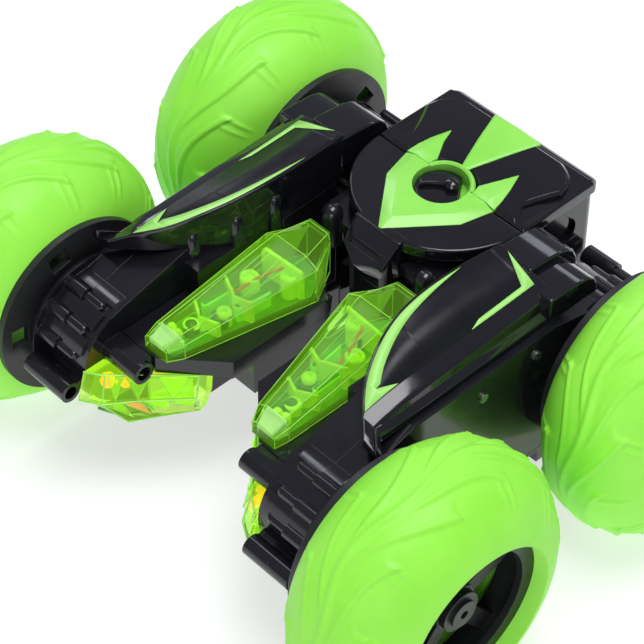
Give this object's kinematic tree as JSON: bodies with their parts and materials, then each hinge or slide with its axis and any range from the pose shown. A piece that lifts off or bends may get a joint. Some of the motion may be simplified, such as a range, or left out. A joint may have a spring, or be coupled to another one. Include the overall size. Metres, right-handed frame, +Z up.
{
  "type": "rc stunt car",
  "caption": "Remote-control stunt car: a battery pod between swinging side arms with balloon-tyred wheels, green lenses and an amber headlamp.",
  "frame": {"origin": "on the ground under the middle of the car (bounding box bottom centre)", "axes": "+X to the car's left along the axles, -Y to its front, +Z up"},
  "size_m": [0.2058, 0.181, 0.085],
  "materials": {
    "black_shell": "moulded black, semi-gloss",
    "gloss_cover": "high gloss black",
    "green_tyre": "matte lime green soft vinyl",
    "green_plastic": "satin lime green",
    "green_lens": "translucent fluorescent green",
    "amber_lens": "translucent yellow-green",
    "led": "lit amber",
    "board": "solder resist",
    "motor_can": "plated can",
    "steel": "bright steel",
    "gear_plastic": "natural nylon",
    "battery_wrap": "shrink wrap"
  },
  "bodies": {
    "pod": {"pod_lower_shell": "black_shell", "pod_upper_shell": "black_shell", "pod_front_cover": "gloss_cover", "cover_emblem": "green_plastic", "battery_pack": "battery_wrap", "circuit_board": "board", "switch_body": "black_shell", "pod_screws": "steel"},
    "battery_lid": {"battery_lid": "gloss_cover", "lid_emblem": "green_plastic"},
    "lock_knob": {"lock_knob": "gloss_cover"},
    "power_switch": {"switch_slider": "black_shell"},
    "left_arm": {"left_inner_shell": "black_shell", "left_outer_shell": "black_shell", "left_top_cover": "gloss_cover", "left_bottom_cover": "gloss_cover", "left_lens_tray": "black_shell", "left_signal_lens": "green_lens", "left_light_board": "board", "left_headlamp_lens": "amber_lens", "left_headlamp_led": "led", "left_motor": "motor_can", "left_gear_pins": "steel", "left_shell_screws": "steel"},
    "left_front_wheel": {"left_front_tyre": "green_tyre", "left_front_rim": "black_shell", "left_front_axle": "steel", "left_front_hub_cap": "black_shell"},
    "left_rear_wheel": {"left_rear_tyre": "green_tyre", "left_rear_rim": "black_shell", "left_rear_axle": "steel", "left_rear_hub_cap": "black_shell"},
    "left_front_idler": {"left_front_idler_gear": "gear_plastic"},
    "left_rear_idler": {"left_rear_idler_gear": "gear_plastic"},
    "left_compound": {"left_compound_gear": "gear_plastic"},
    "left_pinion": {"left_motor_pinion": "gear_plastic"},
    "right_arm": {"right_inner_shell": "black_shell", "right_outer_shell": "black_shell", "right_top_cover": "gloss_cover", "right_bottom_cover": "gloss_cover", "right_lens_tray": "black_shell", "right_signal_lens": "green_lens", "right_light_board": "board", "right_headlamp_lens": "amber_lens", "right_headlamp_led": "led", "right_motor": "motor_can", "right_gear_pins": "steel", "right_shell_screws": "steel"},
    "right_front_wheel": {"right_front_tyre": "green_tyre", "right_front_rim": "black_shell", "right_front_axle": "steel", "right_front_hub_cap": "black_shell"},
    "right_rear_wheel": {"right_rear_tyre": "green_tyre", "right_rear_rim": "black_shell", "right_rear_axle": "steel", "right_rear_hub_cap": "black_shell"},
    "right_front_idler": {"right_front_idler_gear": "gear_plastic"},
    "right_rear_idler": {"right_rear_idler_gear": "gear_plastic"},
    "right_compound": {"right_compound_gear": "gear_plastic"},
    "right_pinion": {"right_motor_pinion": "gear_plastic"}
  },
  "joints": [
    {"name": "battery_lid_hinge", "type": "hinge", "parent": "pod", "child": "battery_lid", "pos_m": [0, 0.075, 0.06945], "axis": [-1, 0, 0], "range_deg": [0, 95]},
    {"name": "lock_knob_turn", "type": "hinge", "parent": "pod", "child": "lock_knob", "pos_m": [0, 0.039, 0.0675], "axis": [0, 0, 1], "range_deg": [0, 90]},
    {"name": "power_switch_slide", "type": "slide", "parent": "pod", "child": "power_switch", "axis": [1, 0, 0], "range_m": [0, 0.004]},
    {"name": "left_arm_swing", "type": "hinge", "parent": "pod", "child": "left_arm", "pos_m": [0, 0.048, 0.0425], "axis": [1, 0, 0], "range_deg": [-90, 90]},
    {"name": "left_front_wheel_spin", "type": "hinge", "parent": "left_arm", "child": "left_front_wheel", "pos_m": [0, -0.048, 0.0425], "axis": [1, 0, 0], "continuous": true},
    {"name": "left_rear_wheel_spin", "type": "hinge", "parent": "left_arm", "child": "left_rear_wheel", "pos_m": [0, 0.048, 0.0425], "axis": [1, 0, 0], "continuous": true},
    {"name": "left_front_idler_spin", "type": "hinge", "parent": "left_arm", "child": "left_front_idler", "pos_m": [0, -0.0196, 0.0425], "axis": [1, 0, 0], "continuous": true},
    {"name": "left_rear_idler_spin", "type": "hinge", "parent": "left_arm", "child": "left_rear_idler", "pos_m": [0, 0.0196, 0.0425], "axis": [1, 0, 0], "continuous": true},
    {"name": "left_compound_spin", "type": "hinge", "parent": "left_arm", "child": "left_compound", "pos_m": [0, 0, 0.0425], "axis": [1, 0, 0], "continuous": true},
    {"name": "left_pinion_spin", "type": "hinge", "parent": "left_arm", "child": "left_pinion", "pos_m": [0, -0.0168, 0.0425], "axis": [1, 0, 0], "continuous": true},
    {"name": "right_arm_swing", "type": "hinge", "parent": "pod", "child": "right_arm", "pos_m": [0, 0.048, 0.0425], "axis": [1, 0, 0], "range_deg": [-90, 90]},
    {"name": "right_front_wheel_spin", "type": "hinge", "parent": "right_arm", "child": "right_front_wheel", "pos_m": [0, -0.048, 0.0425], "axis": [1, 0, 0], "continuous": true},
    {"name": "right_rear_wheel_spin", "type": "hinge", "parent": "right_arm", "child": "right_rear_wheel", "pos_m": [0, 0.048, 0.0425], "axis": [1, 0, 0], "continuous": true},
    {"name": "right_front_idler_spin", "type": "hinge", "parent": "right_arm", "child": "right_front_idler", "pos_m": [0, -0.0196, 0.0425], "axis": [1, 0, 0], "continuous": true},
    {"name": "right_rear_idler_spin", "type": "hinge", "parent": "right_arm", "child": "right_rear_idler", "pos_m": [0, 0.0196, 0.0425], "axis": [1, 0, 0], "continuous": true},
    {"name": "right_compound_spin", "type": "hinge", "parent": "right_arm", "child": "right_compound", "pos_m": [0, 0, 0.0425], "axis": [1, 0, 0], "continuous": true},
    {"name": "right_pinion_spin", "type": "hinge", "parent": "right_arm", "child": "right_pinion", "pos_m": [0, -0.0168, 0.0425], "axis": [1, 0, 0], "continuous": true}
  ],
  "couplings": [
    {"joint": "left_rear_wheel_spin", "follows": "left_front_wheel_spin", "ratio": 1},
    {"joint": "left_front_idler_spin", "follows": "left_front_wheel_spin", "ratio": -0.91892},
    {"joint": "left_rear_idler_spin", "follows": "left_front_wheel_spin", "ratio": -0.91892},
    {"joint": "left_compound_spin", "follows": "left_front_wheel_spin", "ratio": 2.8333},
    {"joint": "left_pinion_spin", "follows": "left_front_wheel_spin", "ratio": -10.389},
    {"joint": "right_rear_wheel_spin", "follows": "right_front_wheel_spin", "ratio": 1},
    {"joint": "right_front_idler_spin", "follows": "right_front_wheel_spin", "ratio": -0.91892},
    {"joint": "right_rear_idler_spin", "follows": "right_front_wheel_spin", "ratio": -0.91892},
    {"joint": "right_compound_spin", "follows": "right_front_wheel_spin", "ratio": 2.8333},
    {"joint": "right_pinion_spin", "follows": "right_front_wheel_spin", "ratio": -10.389}
  ]
}
